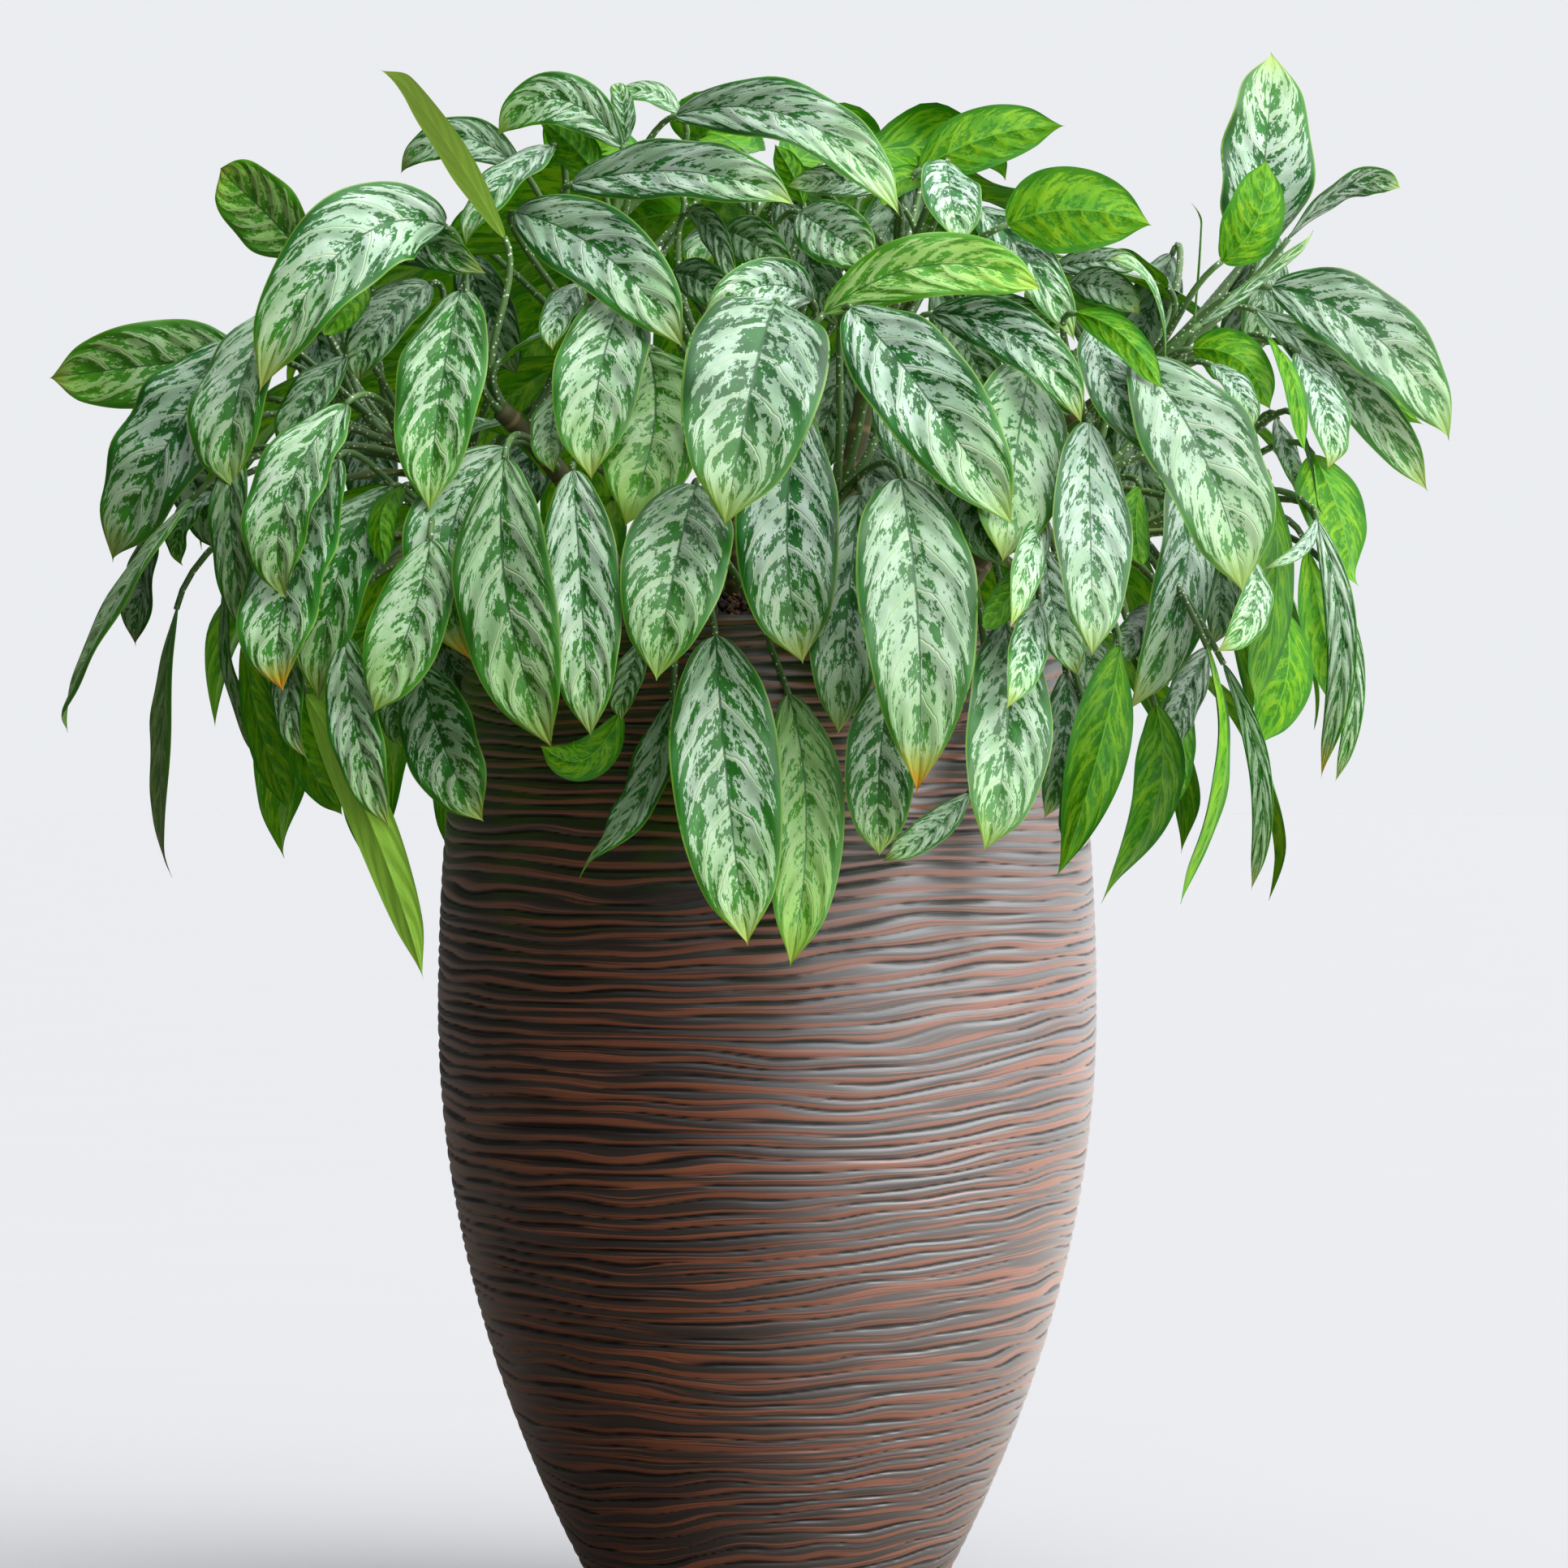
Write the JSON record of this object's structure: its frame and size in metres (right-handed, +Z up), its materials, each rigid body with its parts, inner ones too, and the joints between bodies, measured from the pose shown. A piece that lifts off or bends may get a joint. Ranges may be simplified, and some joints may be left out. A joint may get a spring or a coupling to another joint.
{
  "type": "potted chinese evergreen plant",
  "caption": "A bushy Chinese evergreen whose silver-variegated leaves hang over the rim of a tall, dark, ribbed planter",
  "frame": {"origin": "the middle of the planter's base, on the floor", "axes": "+Z up along the planter's axis, the side seen in the picture faces -Y, +X to the right of it"},
  "size_m": [0.8627, 0.635, 0.9628],
  "materials": {
    "planter_glaze": "semi-gloss dark brown glaze",
    "soil": "loose and matte",
    "foliage": "satin leaf surface"
  },
  "bodies": {
    "root": {"planter": "planter_glaze", "soil": "soil", "leafy_cane_01": "foliage", "leafy_cane_02": "foliage", "leafy_cane_03": "foliage", "leafy_cane_04": "foliage", "leafy_cane_05": "foliage", "leafy_cane_06": "foliage", "leafy_cane_07": "foliage", "leafy_cane_08": "foliage", "leafy_cane_09": "foliage", "leafy_cane_10": "foliage", "leafy_cane_11": "foliage", "leafy_cane_12": "foliage", "leafy_cane_13": "foliage", "leafy_cane_14": "foliage", "leafy_cane_15": "foliage", "leafy_cane_16": "foliage", "leafy_cane_17": "foliage"}
  },
  "joints": []
}
